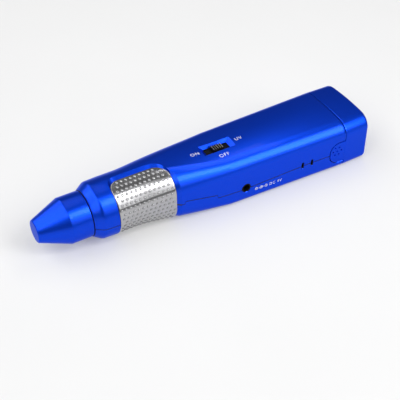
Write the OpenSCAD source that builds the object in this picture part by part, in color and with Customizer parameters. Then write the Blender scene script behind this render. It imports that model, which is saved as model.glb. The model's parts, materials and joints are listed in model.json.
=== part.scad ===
// Diamond tester: a thermal probe with a pull-off cap, a metal touch grip on the neck,
// a three-position slide switch and a pull-off battery cover. All sizes in millimetres.
// Inside the modules X runs from the tip of the cap to the back, on the axis of the nose.

/* [Overall] */
// Length from the tip of the cap to the back of the battery cover
total_len = 171.2; // [169:0.1:177]
// Gap between the rim of the cap and the housing
seam_gap = 0.3; // [0.2:0.05:0.5]

/* [Probe cap] */
// Outer diameter of the cap
cap_d = 22.1; // [21.6:0.1:22.6]
// Diameter of the blunt tip of the cap
cap_tip_d = 10.7; // [10:0.1:11.5]
// Length of the cone of the cap
cap_cone_len = 14.4; // [13.5:0.1:15.5]
// Length of the cap from tip to rim
cap_len = 24.4; // [24:0.1:25.4]
// Wall thickness of the cap
cap_wall = 1.3; // [1.1:0.05:1.4]

/* [Housing] */
// How far the round collar stands out from the cap, which also sets the depth of the body
collar_step = 2.95; // [2.7:0.05:3.2]
// Length of the bevel at the front of the collar
collar_bevel = 3.9; // [3.4:0.1:4.4]
// Length of the plain collar in front of the grip plate
collar_band = 7.8; // [7:0.1:9]
// Distance from the front of the board to the end of the flared shoulder
shoulder_run = 20.5; // [18.5:0.5:22.5]
// Width of the body at the shoulder
body_w_front = 33.4; // [33:0.1:34.4]
// Width of the body at the seam of the battery cover
body_w_rear = 37.5; // [37:0.1:38.5]
// Height of the top face above the axis of the nose
body_top = 12.1; // [11.9:0.1:12.6]
// How far the top face falls away towards its sides
crown = 1.4; // [0.8:0.1:1.8]
// Corner radius between the top face and the sides
top_corner_r = 6.5; // [5.5:0.1:7.5]
// Corner radius between the bottom and the sides
bottom_corner_r = 3.8; // [3:0.1:4.6]
// Wall thickness of the shells
wall = 1.8; // [1.6:0.05:2]
// Depth of the parting line under the axis at the power jack
parting_front = 5.6; // [5.2:0.1:6]
// Depth of the parting line under the axis at the rear
parting_rear = 3.8; // [3.4:0.1:4.2]
// Length of the raised stretch of the parting line behind the grip plate
tab_len = 17; // [15:0.5:18]
// Clearance between fixed pieces
fit_gap = 0.1; // [0.05:0.01:0.15]
// Clearance between moving pieces
run_gap = 0.3; // [0.25:0.01:0.35]

/* [Grip plate] */
// Distance from the rear edge of the grip plate to the board
grip_gap = 7.8; // [7.4:0.1:8.8]
// Thickness of the grip plate
grip_sheet = 0.8; // [0.6:0.05:1]
// Depth of the grip plate under the surface of the housing
grip_sink = 0.45; // [0.3:0.05:0.7]
// Angle between the top line of the neck and the edge of the grip plate
grip_edge_deg = 4.5; // [3:0.5:9]
// Length of the rounded rear corners of the grip plate
grip_corner = 6.5; // [5:0.1:7.5]
// Length of the rounded front corners of the grip plate
grip_front_corner = 4.6; // [3.5:0.1:5.5]
// Width of the bevelled rim around the grip plate
grip_rim = 2; // [1.4:0.1:2.4]

/* [Switch] */
// Length of the switch recess at the surface
slot_len = 16.8; // [16:0.1:17.6]
// Width of the switch recess at the surface
slot_w = 6.8; // [6.4:0.1:7.4]
// Slope width of the walls of the recess
slot_slope = 1.1; // [0.8:0.1:1.3]
// Sideways place of the switch, towards the near side
slot_y = -1; // [-1.4:0.1:-0.6]
// Travel of the knob from OFF to each side
switch_travel = 3; // [2:0.1:3.2]
// Length of the knob
knob_len = 5.4; // [4.8:0.1:6]

/* [Power] */
// Distance from the front of the board to the power jack
jack_run = 28.5; // [27.5:0.5:29.5]
// Outer diameter of the mouth of the power jack
jack_d = 4.6; // [4.4:0.1:4.8]
// Bore of the power jack
jack_bore_d = 3.7; // [3.5:0.05:3.8]
// Length of the front bore that guides the plug
jack_guide = 3.6; // [3.2:0.1:4]
// Length of the battery block without its terminals
batt_len = 46; // [45:0.1:46.5]
// Width of the battery block
batt_w = 26.5; // [26:0.1:26.8]
// Thickness of the battery block
batt_t = 17.5; // [17:0.1:17.6]

/* [Battery cover] */
// Length of the battery cover behind the seam
cover_len = 14.2; // [13:0.1:15.2]
// Wall thickness of the battery cover
cover_wall = 1.3; // [1.1:0.05:1.5]
// Length of the thumb tongue in front of the seam
tongue_len = 8.2; // [7.6:0.1:9]
// Width of the thumb tongue
tongue_w = 11.8; // [11:0.1:12.6]
// Distance between the thumb dots on the tongue
dot_pitch = 2.4; // [2:0.1:2.6]
// Length of the lip that the cover slips over
lip_len = 3; // [2.5:0.1:4]

/* [Wrist cord slots] */
// Distance from the front of the battery block to the middle between the two slots
cord_run = 13.8; // [12:0.1:15.6]
// Distance between the two slots
cord_pitch = 5.3; // [4.6:0.1:6]
// Width of a slot
cord_slot_w = 1.4; // [1.2:0.05:1.8]
// Height of a slot
cord_slot_h = 3.6; // [3:0.1:4.2]

/* [Probe] */
// Distance from the tip of the cap to the needle
tip_x = 7.2; // [7:0.1:7.6]
// Distance from the tip of the cap to the front of the probe housing
nose_x = 13; // [12.8:0.1:13.6]
// Diameter of the needle
needle_d = 1.3; // [1:0.05:1.5]
// Bore that guides the needle base
guide_d = 4.2; // [4:0.05:4.4]
// Travel of the needle when it is pressed
press_travel = 1.5; // [1:0.1:1.7]
// Running clearance of the needle in its bore
slide_gap = 0.08; // [0.05:0.01:0.1]
// Length of the probe spring
spring_len = 8; // [7.4:0.1:9]
// Turns of the probe spring
spring_turns = 7; // [5:1:9]

/* [Board] */
// Room for the leads between the board and the battery block
lead_room = 14.1; // [13.4:0.1:14.8]
// Length of the board
board_len = 35; // [34.6:0.1:35.2]
// Width of the board
board_w = 23; // [22.6:0.1:23.4]
// Thickness of the board
board_t = 1.6; // [1.4:0.1:1.8]
// Distance between the indicator lamps
lamp_pitch = 3.3; // [3.2:0.05:3.4]
// Height of the indicator lens
lens_h = 4; // [3.6:0.1:4.4]
// Length of the indicator lens
lens_len = 30; // [29:0.1:31]

/* [Hidden] */
$fn = 48;
tiny = 0.05;
collar_r = cap_d / 2 + collar_step;
axis_h = collar_r;
seam_x = total_len - cover_len;
pad_t = 1.6;
pad_w = 20;
pad_h = 12;
batt_x1 = total_len - cover_wall - run_gap - pad_t - 0.4;
batt_x0 = batt_x1 - batt_len;
board_x = batt_x0 - lead_room - board_len;
shoulder_x = board_x + shoulder_run;
jack_x = board_x + jack_run;
cord_x = batt_x0 + cord_run;
face_x = cap_len + seam_gap;
face_r = cap_d / 2 + 0.25;
bevel_x = face_x + collar_bevel;
grip_x0 = bevel_x + collar_band;
grip_x1 = board_x - grip_gap;
flare_x = grip_x0 + 7.7;
step_x = grip_x1 + 3.6;
tab_x = step_x + tab_len;
bore_r = cap_d / 2 - cap_wall;
spigot_r = bore_r - run_gap;
seat_r = spigot_r + fit_gap;
pocket_x = face_x + 2.4;
neck_r = collar_r - grip_sink - grip_sheet - fit_gap - 1.1;
neck_end = grip_x1 + 2.5;
lip_out = cover_wall + run_gap;
lip_in = lip_out + 1;
slot_x = shoulder_x + 0.8;
board_z = 0.6;
skirt_z = body_top - wall - 0.35;
front_boss_x = board_x - 4;
front_boss_y = 5;
rear_boss_x = board_x + board_len + 3.5;
rear_boss_y = 9;
boss_r = 2.8;
boss_wide_r = 3.2;
post_y = 6.2;
post_front_x = board_x + 3;
post_rear_x = board_x + board_len - 3.2;
jack_z = -parting_front + 0.3;
cord_z = -parting_rear - 0.1;
tongue_z = -parting_rear + 0.2;
tongue_r = 5;
batt_y = 0.8;
batt_floor = -collar_r + lip_in + 0.2;
batt_z = batt_floor + batt_t / 2;
snap_gap = 6.35;
snap_t = 2;
snap_w = 24;
snap_h = 10;
stud_h = 2.2;
stud_r = 2.9;
socket_r = 4.1;
lead_r = 0.55;
buzzer_run = 12.5;
buzzer_y = 1.5;
buzzer_r = 5.8;
buzzer_h = 6.45;
jack_body_w = 7.2;
jack_body_len = 8.6;
jack_body_drop = 3.5;
jack_well = 4.2;
jack_well_r = jack_bore_d / 2 + 0.4;
jack_pin_r = 0.6;
screw_head_r = 2.1;
screw_head_h = 1.65;
screw_seat = 3.5;
screw_r = 0.88;
screw_len = 12;
board_screw_r = 0.75;
board_head_r = 1.8;
board_head_h = 1.2;
chip_run = 5.5;
chip_w = 6.5;
chip_h = 1.5;
switch_len = 13.2;
switch_w = 6;
switch_h = 5;
stem_len = 2.8;
stem_w = 2.4;
lamp_w = 2.2;
lamp_h = 2.6;
lamp_r = 0.8;
bush_x = nose_x + 3;
base_len = 3;
heater_len = 6;
heater_x = bush_x + slide_gap + base_len;
spring_x = heater_x + heater_len + tiny;
plug_x = spring_x + spring_len + tiny;
plug_len = 3;
tail_x = plug_x + plug_len + 8;
guide_r = guide_d / 2;
lens_x = board_x + 1.6;
lens_z = board_z + 1.5;
contact_x = grip_x1 - 7;
ring_x = (nose_x + 6.5 + face_x) / 2;

function mix(a, b, t) = a + (b - a) * t;
function part_of(x, x0, x1) = max(0, min(1, (x - x0) / (x1 - x0)));
function soft(t) = t * t * (3 - 2 * t);
function flare(x) = part_of(x, flare_x, shoulder_x);
function collar_at(x) = lookup(x, [
    [face_x, face_r],
    [bevel_x, collar_r - 0.2],
    [grip_x0 - 1, collar_r]
]);
// Half width, heights and corner radii of the housing at a distance from the tip
function half_w(x) = x < flare_x ? collar_at(x)
    : x < shoulder_x ? mix(collar_r, body_w_front / 2, pow(flare(x), 1.3))
    : mix(body_w_front / 2, body_w_rear / 2, min(1, (x - shoulder_x) / (seam_x - shoulder_x)))
      - max(0, x - seam_x) * 0.025;
function top_h(x) = x < flare_x ? collar_at(x)
    : mix(collar_r, body_top, soft(part_of(x, flare_x + 8, shoulder_x + 2)));
function bottom_h(x) = collar_at(x) + 0.06;
function corner_top(x) = x < flare_x ? collar_at(x)
    : mix(collar_r, top_corner_r, 0.5 * flare(x) + 0.5 * soft(flare(x)));
function corner_bottom(x) = x < flare_x ? collar_at(x)
    : mix(collar_r, bottom_corner_r, mix(soft(flare(x)), flare(x), flare(x)));
function crown_at(x) = crown * soft(part_of(x, flare_x + 8, shoulder_x));
function split_z(x) = lookup(x, [
    [face_x, -1],
    [step_x, -2.3],
    [step_x + 0.6, -0.9],
    [tab_x, -parting_front + 2],
    [tab_x + 0.6, -parting_front + 0.2],
    [jack_x, -parting_front],
    [cord_x, -parting_rear],
    [total_len, -parting_rear]
]);

// A point of the section, by its angle from the top towards the near side and its depth under the surface
function section_point(x, phi, inset) =
    let (a = half_w(x) - inset)
    let (zl = (cos(phi) >= 0 ? top_h(x) : bottom_h(x)) - inset)
    let (rc = (cos(phi) >= 0 ? corner_top(x) : corner_bottom(x)) - inset)
    let (r = max(0.4, min(rc, a - 0.01, zl - 0.01)))
    let (u = abs(sin(phi)), v = abs(cos(phi)))
    let (ca = a - r, cz = zl - r)
    let (k = u * ca + v * cz)
    let (rho = u * zl <= v * ca ? zl / v
        : v * a <= u * cz ? a / u
        : k + sqrt(max(0, k * k - ca * ca - cz * cz + r * r)))
    let (y = -rho * sin(phi), z = rho * cos(phi))
    let (drop = z > 0 ? crown_at(x) * pow(y / half_w(x), 2) * z / top_h(x) : 0)
    [x, y, z - drop];

// Half width of the section at a height under the axis, and the angle of that point
function width_at(x, z, inset) =
    let (a = half_w(x) - inset, zl = bottom_h(x) - inset)
    let (r = max(0.4, min(corner_bottom(x) - inset, a - 0.01, zl - 0.01)))
    let (over = -z - (zl - r))
    over <= 0 ? a : a - r + sqrt(max(0.01, r * r - over * over));
function split_phi(x, z, inset) = atan2(width_at(x, z, inset), z);

// Height of the upper section over a sideways distance from the middle
function roof(x, y, inset) =
    let (a = half_w(x) - inset, zl = top_h(x) - inset)
    let (r = max(0.4, min(corner_top(x) - inset, a - 0.01, zl - 0.01)))
    let (over = abs(y) - (a - r))
    let (z = over <= 0 ? zl : zl - r + sqrt(max(0.01, r * r - over * over)))
    z - crown_at(x) * pow(y / half_w(x), 2) * z / top_h(x);

function shell_out(x) = x > seam_x + tiny / 2 ? lip_out : 0;
function shell_in(x) = x < pocket_x + tiny / 2 ? half_w(x) - seat_r
    : x < neck_end ? half_w(x) - neck_r
    : lookup(x, [
        [neck_end, half_w(neck_end) - neck_r],
        [neck_end + 3, wall],
        [seam_x - 6, wall],
        [seam_x - 4, lip_in]
    ]);

shell_x = concat(
    [face_x, mix(face_x, bevel_x, 0.4), pocket_x, pocket_x + tiny, bevel_x, grip_x0 - 1, grip_x0 + 3],
    [for (i = [0:6]) mix(flare_x, neck_end, i / 6)],
    [step_x, step_x + 0.6, neck_end + 3],
    [for (i = [1:4]) mix(neck_end + 3, tab_x, i / 4)],
    [tab_x + 0.6, shoulder_x, jack_x],
    [for (i = [1:2]) mix(jack_x, cord_x, i / 2)],
    [seam_x - 6],
    [seam_x - 4, seam_x, seam_x + tiny, seam_x + lip_len]
);

function upper_ring(x, n) =
    let (z = split_z(x) + 0.02, so = shell_out(x), si = shell_in(x))
    let (po = split_phi(x, z, so), pi = split_phi(x, z, si))
    concat(
        [for (i = [0:n]) section_point(x, mix(-po, po, i / n), so)],
        [for (i = [0:n]) section_point(x, mix(pi, -pi, i / n), si)]
    );
function lower_ring(x, n) =
    let (z = split_z(x) - 0.02, so = shell_out(x), si = shell_in(x))
    let (po = split_phi(x, z, so), pi = split_phi(x, z, si))
    concat(
        [for (i = [0:n]) section_point(x, mix(po, 360 - po, i / n), so)],
        [for (i = [0:n]) section_point(x, mix(360 - pi, pi, i / n), si)]
    );
function whole_ring(x, inset, n) = [for (i = [0:n - 1]) section_point(x, 360 * i / n, inset)];

// Edge angle of the grip plate at a distance from the tip, with rounded corners, widened by a margin
function grip_phi(x, m) =
    let (t = max(0, (x - (grip_x1 + m - grip_corner)) / grip_corner))
    let (f = max(0, (grip_x0 - m + grip_front_corner - x) / grip_front_corner))
    grip_edge_deg - m * 57.3 / collar_r + 34 * (1 - sqrt(max(0, 1 - t * t)))
        + 20 * (1 - sqrt(max(0, 1 - f * f)));
function grip_stations(m) = concat(
    [for (k = [0:18:90]) grip_x0 - m + grip_front_corner * (1 - cos(k))],
    [for (i = [1:4]) mix(grip_x0 - m + grip_front_corner, grip_x1 + m - grip_corner, i / 4)],
    [for (k = [18:18:90]) grip_x1 + m - grip_corner * (1 - sin(k))]
);
function grip_ring(x, p, out, in, n) = concat(
    [for (i = [0:n]) section_point(x, mix(p, 180 - p, i / n), out)],
    [for (i = [0:n]) section_point(x, mix(180 - p, p, i / n), in)]
);
// A ring of the recess, with bevelled edges above the plate
function recess_ring(x, p, wide, n, in) =
    let (mid = min(in, grip_sink))
    concat(
        [for (i = [0:n]) section_point(x, mix(p - wide, 180 - p + wide, i / n), mid - 1)],
        [section_point(x, 180 - p, mid - 0.01)],
        [for (i = [0:n]) section_point(x, mix(180 - p, p, i / n), in + 0.01)],
        [section_point(x, p, mid - 0.01)]
    );

// A closed skin over rings of equal length. The ends of open sections are closed by a strip
module skin(rings, strip = false) {
    n = len(rings[0]);
    m = len(rings);
    e = (m - 1) * n;
    sides = [for (k = [0:m - 2], i = [0:n - 1], h = [0:1])
        h == 0
            ? [k * n + i, (k + 1) * n + (i + 1) % n, k * n + (i + 1) % n]
            : [k * n + i, (k + 1) * n + i, (k + 1) * n + (i + 1) % n]];
    first = strip
        ? [for (i = [0:n / 2 - 2], h = [0:1]) h == 0 ? [i, i + 1, n - 1 - i] : [i + 1, n - 2 - i, n - 1 - i]]
        : [[for (i = [0:n - 1]) i]];
    last = [for (f = first) [for (i = [len(f) - 1:-1:0]) e + f[i]]];
    polyhedron([for (r = rings, p = r) p], concat(sides, first, last), convexity = 10);
}

// A round tube along a path in a plane of constant height
function tube_rings(path, r, n) = [for (p = path) [for (i = [0:n - 1])
    [p[0], p[1] + r * cos(360 * i / n), p[2] + r * sin(360 * i / n)]]];

module at_axis() {
    translate([-total_len / 2, 0, axis_h])
        children();
}
module along_x(x) {
    translate([x, 0, 0])
        rotate([90, 0, 90])
            children();
}
// A turned piece: points are distance from the tip and radius
module turned(points) {
    rotate([90, 0, 90])
        rotate_extrude()
            polygon([for (p = points) [p[1], p[0]]]);
}
module rod(x, y, z, r, h) {
    translate([x, y, z])
        cylinder(r = r, h = h);
}
module near_rod(x, z, r, y0, y1) {
    translate([x, y1, z])
        rotate([90, 0, 0])
            cylinder(r = r, h = y1 - y0);
}
module block(x0, x1, y0, y1, z0, z1) {
    translate([x0, y0, z0])
        cube([x1 - x0, y1 - y0, z1 - z0]);
}
// A block about a middle line, by its length, width and heights
module mid_block(x, y, len, w, z0, z1) {
    block(x - len / 2, x + len / 2, y - w / 2, y + w / 2, z0, z1);
}
module upright_slot(x, z, w, h, y0, y1) {
    near_rod(x, z + h / 2 - w / 2, w / 2, y0, y1);
    near_rod(x, z - h / 2 + w / 2, w / 2, y0, y1);
    block(x - w / 2, x + w / 2, y0, y1, z - h / 2 + w / 2, z + h / 2 - w / 2);
}

module grip_recess() {
    wide = (grip_rim / grip_sink) * 57.3 / collar_r;
    depth = grip_sink + grip_sheet + fit_gap;
    xs = grip_stations(fit_gap);
    end = xs[len(xs) - 1];
    skin(concat(
        [recess_ring(xs[0] - 0.25, grip_phi(xs[0], fit_gap), wide, 18, -0.1)],
        [for (x = xs) recess_ring(x, grip_phi(x, fit_gap), wide, 18, depth)],
        [recess_ring(end + tiny, grip_phi(end, fit_gap), wide, 18, grip_sink)],
        [recess_ring(end + grip_rim + tiny, grip_phi(end, fit_gap), wide, 18, -0.1)]
    ), strip = true);
}
module tongue_shape(m) {
    x0 = seam_x - tongue_len - m;
    r = tongue_r + m;
    h = tongue_w / 2 + m;
    translate([x0 + r, tongue_z + h - r])
        circle(r = r);
    translate([x0 + r, tongue_z - h + r])
        circle(r = r);
    translate([x0, tongue_z - h + r])
        square([r, 2 * (h - r)]);
    translate([x0 + r, tongue_z - h])
        square([tongue_len + lip_len + 2 - r, 2 * h]);
}
module tongue_cut() {
    translate([0, -batt_w / 2 + batt_y - 0.5, 0])
        rotate([90, 0, 0])
            linear_extrude(height = 12)
                tongue_shape(run_gap);
}
module switch_cut() {
    h = 1.9;
    hull() {
        translate([slot_x, slot_y, body_top + 0.75])
            cube([slot_len + 0.6, slot_w + 0.6, 0.1], center = true);
        translate([slot_x, slot_y, body_top - h])
            cube([slot_len - 2 * slot_slope, slot_w - 2 * slot_slope, 0.1], center = true);
    }
}
module near_cuts() {
    near_rod(jack_x, jack_z, jack_d / 2 + fit_gap, -25, -half_w(jack_x) + wall + 1.5);
    for (d = [-0.5, 0.5])
        upright_slot(cord_x + d * cord_pitch, cord_z, cord_slot_w, cord_slot_h, -25, -14.6);
    tongue_cut();
}
module boss_places() {
    for (s = [-1, 1]) {
        translate([front_boss_x, s * front_boss_y, 0])
            children();
        translate([rear_boss_x, s * rear_boss_y, 0])
            children();
    }
}

module upper_boss(x, s, y) {
    z = split_z(x) + 0.1;
    rod(x, s * y, z, boss_r, roof(x, y + boss_r, wall * 0.5) - z);
}

module upper_shell() {
    color("royalblue")
        at_axis()
            difference() {
                union() {
                    difference() {
                        skin([for (x = shell_x) upper_ring(x, 38)], strip = true);
                        grip_recess();
                        switch_cut();
                        near_cuts();
                        block(lens_x - fit_gap, lens_x + lens_len + fit_gap, 8, 25,
                            lens_z - lens_h / 2 - fit_gap, lens_z + lens_h / 2 + fit_gap);
                        near_rod(contact_x, 2.2, 1 + fit_gap, -25, -8);
                    }
                    for (s = [-1, 1]) {
                        upper_boss(front_boss_x, s, front_boss_y);
                        upper_boss(rear_boss_x, s, rear_boss_y);
                    }
                    rod(post_front_x, -post_y, board_z, 2.2,
                        roof(post_front_x, post_y + 2.2, wall * 0.5) - board_z);
                    rod(post_rear_x, post_y, board_z, 2.2,
                        roof(post_rear_x, post_y + 2.2, wall * 0.5) - board_z);
                }
                boss_places()
                    rod(0, 0, -8, 0.9, 12);
                rod(post_front_x, -post_y, 0, 0.8, 5);
                rod(post_rear_x, post_y, 0, 0.8, 5);
            }
}
module lower_shell() {
    color("mediumblue")
        at_axis()
            difference() {
                union() {
                    difference() {
                        skin([for (x = shell_x) lower_ring(x, 34)], strip = true);
                        grip_recess();
                        near_cuts();
                    }
                    for (s = [-1, 1]) {
                        rod(front_boss_x, s * front_boss_y, -collar_r + wall * 0.6, boss_wide_r,
                            split_z(front_boss_x) + collar_r - wall * 0.6 - 0.1);
                        rod(rear_boss_x, s * rear_boss_y, -collar_r + wall * 0.6, boss_wide_r,
                            split_z(rear_boss_x) + collar_r - wall * 0.6 - 0.1);
                        block(batt_x0 + 3, seam_x - 6.5, s * 8 - 0.8, s * 8 + 0.8,
                            -collar_r + wall * 0.6, batt_floor);
                    }
                }
                boss_places() {
                    rod(0, 0, -12, 1.25, 12);
                    rod(0, 0, -20, screw_head_r + 0.2, 20 - collar_r + screw_seat + screw_head_h + tiny);
                }
                block(0, total_len, -30, 30, -30, -collar_r);
            }
}
module grip_plate() {
    color("silver")
        at_axis()
            skin([for (x = grip_stations(0))
                grip_ring(x, grip_phi(x, 0), grip_sink, grip_sink + grip_sheet, 30)], strip = true);
}
module probe_cap() {
    tip_r = cap_tip_d / 2;
    slant = (cap_d / 2 - tip_r) / cap_cone_len;
    thick = cap_wall * sqrt(1 + slant * slant);
    color("steelblue")
        at_axis()
            turned([
                [0, 0],
                [0, tip_r - 0.5],
                [0.5, tip_r + 0.5 * slant],
                [cap_cone_len, cap_d / 2],
                [cap_len - 0.2, cap_d / 2],
                [cap_len, cap_d / 2 - 0.2],
                [cap_len, bore_r],
                [cap_cone_len + 0.5, bore_r],
                [cap_wall, tip_r + cap_wall * slant - thick],
                [cap_wall, 0]
            ]);
}
module probe_housing() {
    color("dimgray")
        at_axis()
            difference() {
                turned([
                    [nose_x, needle_d / 2 + slide_gap],
                    [nose_x, 5.2],
                    [nose_x + 6.5, spigot_r],
                    [ring_x - 0.8, spigot_r],
                    [ring_x - 0.8, spigot_r - 1.2],
                    [ring_x + 0.8, spigot_r - 1.2],
                    [ring_x + 0.8, spigot_r],
                    [pocket_x + fit_gap, spigot_r],
                    [pocket_x + fit_gap, neck_r - fit_gap],
                    [pocket_x + 2.4, neck_r - fit_gap],
                    [pocket_x + 2.4, guide_r + 2.4],
                    [tail_x, guide_r + 2.4],
                    [tail_x, guide_r],
                    [bush_x, guide_r],
                    [bush_x, needle_d / 2 + slide_gap]
                ]);
                along_x(nose_x - 1)
                    translate([0, 3.1, 0])
                        cylinder(r = 1.5 + fit_gap / 2, h = 3.7);
            }
}
module cap_ring() {
    color("black")
        at_axis()
            along_x(ring_x)
                rotate_extrude()
                    translate([spigot_r - 0.55, 0])
                        circle(r = 0.6, $fn = 24);
}
module uv_led() {
    color("plum")
        at_axis()
            turned_at(3.1, [
                [nose_x - 2.2, 0],
                [nose_x - 1.9, 0.9],
                [nose_x - 1.2, 1.4],
                [nose_x - 0.6, 1.5],
                [nose_x + 2.6, 1.5],
                [nose_x + 2.6, 0]
            ]);
}
module turned_at(z, points) {
    translate([0, 0, z])
        turned(points);
}
module probe_needle() {
    r = needle_d / 2;
    color("peru")
        at_axis()
            turned([
                [tip_x, 0],
                [tip_x, 0.25],
                [tip_x + 2.2, r],
                [bush_x + slide_gap, r],
                [bush_x + slide_gap, guide_r - slide_gap],
                [heater_x, guide_r - slide_gap],
                [heater_x, 0]
            ]);
}
module heater_block() {
    color("linen")
        at_axis()
            turned([
                [heater_x, 0],
                [heater_x, guide_r - slide_gap],
                [heater_x + heater_len, guide_r - slide_gap],
                [heater_x + heater_len, 0]
            ]);
}
module probe_spring() {
    wire = 0.2;
    coil = guide_r - 0.5;
    per = 12;
    count = spring_turns * per;
    color("lightsteelblue")
        at_axis()
            skin([for (k = [0:count])
                let (a = 360 * k / per)
                let (x = mix(spring_x + wire, spring_x + spring_len - wire, k / count))
                [for (i = [5:-1:0])
                    let (b = 60 * i)
                    [x + wire * sin(b), (coil + wire * cos(b)) * cos(a), (coil + wire * cos(b)) * sin(a)]]]);
}
module spring_retainer() {
    color("gray")
        at_axis()
            turned([
                [plug_x, 0.9],
                [plug_x, guide_r - 0.02],
                [plug_x + plug_len, guide_r - 0.02],
                [plug_x + plug_len, 0.9]
            ]);
}
module probe_leads() {
    x0 = plug_x + plug_len + 0.3;
    x1 = board_x + 1.5;
    color("orange")
        at_axis()
            for (s = [-1, 1])
                skin(tube_rings([for (k = [0:12])
                    let (t = k / 12)
                    [mix(x0, x1, t), s * mix(0.8, 1.3, soft(t)), mix(0, board_z + 0.45, soft(t))]], 0.4, 8));
}
module main_board() {
    color("darkgreen")
        at_axis()
            difference() {
                block(board_x, board_x + board_len, -board_w / 2, board_w / 2, board_z - board_t, board_z);
                rod(post_front_x, -post_y, board_z - board_t - 1, 1.1, board_t + 2);
                rod(post_rear_x, post_y, board_z - board_t - 1, 1.1, board_t + 2);
            }
}
module control_chip() {
    color("dimgray")
        at_axis()
            translate([board_x + chip_run, -0.5, board_z])
                cube([chip_w, chip_w, chip_h]);
}
module board_parts() {
    color("tan")
        at_axis()
            for (k = [0:4])
                block(board_x + 7 + k * 1.6, board_x + 8 + k * 1.6, -3.5, -1.5, board_z, board_z + 0.7);
}
module board_screw(x, y) {
    rod(x, y, board_z - board_t - board_head_h, board_head_r, board_head_h);
    rod(x, y, board_z - board_t - 0.1, board_screw_r, board_t + 4);
}
module board_screws() {
    color("silver")
        at_axis() {
            board_screw(post_front_x, -post_y);
            board_screw(post_rear_x, post_y);
        }
}
module slide_switch() {
    color("gainsboro")
        at_axis()
            difference() {
                mid_block(slot_x, slot_y, switch_len, switch_w, board_z, board_z + switch_h);
                mid_block(slot_x, slot_y, stem_len + 2 * switch_travel + 2 * run_gap, stem_w + 2 * run_gap,
                    board_z + switch_h - 1.8, board_z + switch_h + 1);
            }
}
module switch_knob() {
    top = body_top + 0.2;
    color("black")
        at_axis()
            difference() {
                union() {
                    mid_block(slot_x, slot_y, stem_len, stem_w, board_z + switch_h - 1.4, skirt_z - 0.3);
                    mid_block(slot_x, slot_y, slot_len - 2 * slot_slope + 2 * switch_travel + 0.8,
                        slot_w - 2 * slot_slope + 1.2, skirt_z - 0.7, skirt_z);
                    mid_block(slot_x, slot_y, knob_len, slot_w - 2 * slot_slope - 2 * run_gap,
                        skirt_z - 0.3, top);
                }
                for (k = [-2:2])
                    block(slot_x + k * knob_len / 5.4 - 0.25, slot_x + k * knob_len / 5.4 + 0.25,
                        slot_y - slot_w, slot_y + slot_w, top - 0.5, top + 1);
            }
}
module dc_jack() {
    mouth = -half_w(jack_x) + 0.15;
    inner = -half_w(jack_x) + wall + 0.35;
    color("black")
        at_axis()
            difference() {
                union() {
                    near_rod(jack_x, jack_z, jack_d / 2, mouth, inner + 1);
                    mid_block(jack_x, inner + jack_body_len / 2, jack_body_w, jack_body_len,
                        jack_z - jack_body_drop, board_z - board_t - tiny);
                }
                near_rod(jack_x, jack_z, jack_bore_d / 2, mouth - 1, mouth + jack_guide);
                near_rod(jack_x, jack_z, jack_well_r, mouth + jack_guide, mouth + jack_guide + jack_well);
            }
}
module dc_jack_pin() {
    mouth = -half_w(jack_x) + 0.15;
    color("silver")
        at_axis()
            near_rod(jack_x, jack_z, jack_pin_r, mouth + jack_guide + jack_pin_r,
                mouth + jack_guide + jack_well);
}
module buzzer() {
    x = board_x + buzzer_run;
    color("black")
        at_axis()
            difference() {
                rod(x, buzzer_y, board_z - board_t - tiny - buzzer_h, buzzer_r, buzzer_h);
                rod(x, buzzer_y, board_z - board_t - buzzer_h - 0.55, 1.2, 2);
            }
}
module lamp(k) {
    x = lens_x + lens_len / 2 + (k - 4) * lamp_pitch;
    y = board_w / 2 - 1.6;
    block(x - lamp_w / 2, x + lamp_w / 2, y + 0.6 - lamp_w, y + 0.6, board_z, board_z + lamp_h);
    translate([x, y + 0.6 + 0.6, board_z + lamp_h / 2 + 0.1])
        rotate([90, 0, 0])
            cylinder(r = lamp_r, h = 1);
}
module green_lamps() {
    color("limegreen")
        at_axis()
            for (k = [0:2])
                lamp(k);
}
module yellow_lamps() {
    color("gold")
        at_axis()
            for (k = [3:5])
                lamp(k);
}
module red_lamps() {
    color("red")
        at_axis()
            for (k = [6:8])
                lamp(k);
}
function lens_phi(x, z, inset) = -atan2(half_w(x) - inset, z);
module indicator_lens() {
    z0 = lens_z - lens_h / 2;
    z1 = lens_z + lens_h / 2;
    n = 4;
    color("lightcyan")
        at_axis()
            skin([for (k = [0:10])
                let (x = mix(lens_x, lens_x + lens_len, k / 10))
                concat(
                    [for (i = [0:n])
                        section_point(x, mix(lens_phi(x, z0, 0.1), lens_phi(x, z1, 0.1), i / n), 0.1)],
                    [for (i = [0:n])
                        section_point(x, mix(lens_phi(x, z1, wall), lens_phi(x, z0, wall), i / n), wall)]
                )], strip = true);
}
module touch_contact() {
    y1 = -neck_r + 0.9;
    color("goldenrod")
        at_axis() {
            near_rod(contact_x, 2.2, 1, -half_w(contact_x) + grip_sink + grip_sheet + 0.16, y1);
            block(contact_x - 1.5, board_x + 0.6, y1 - 0.4, y1, board_z + 0.02, 3.6);
        }
}
module battery() {
    color("darkslategray")
        at_axis()
            mid_block((batt_x0 + batt_x1) / 2, batt_y, batt_len, batt_w, batt_floor, batt_floor + batt_t);
}
module battery_terminals() {
    color("silver")
        at_axis() {
            translate([batt_x0 - stud_h, batt_y - snap_gap, batt_z])
                rotate([0, 90, 0])
                    cylinder(r = stud_r, h = stud_h);
            translate([batt_x0 - stud_h, batt_y + snap_gap, batt_z])
                rotate([0, 90, 0])
                    cylinder(r = socket_r, h = stud_h, $fn = 6);
        }
}
module battery_snap() {
    x1 = batt_x0 - stud_h;
    color("black")
        at_axis()
            mid_block(x1 - snap_t / 2, batt_y, snap_t, snap_w, batt_z - snap_h / 2, batt_z + snap_h / 2);
}
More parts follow.
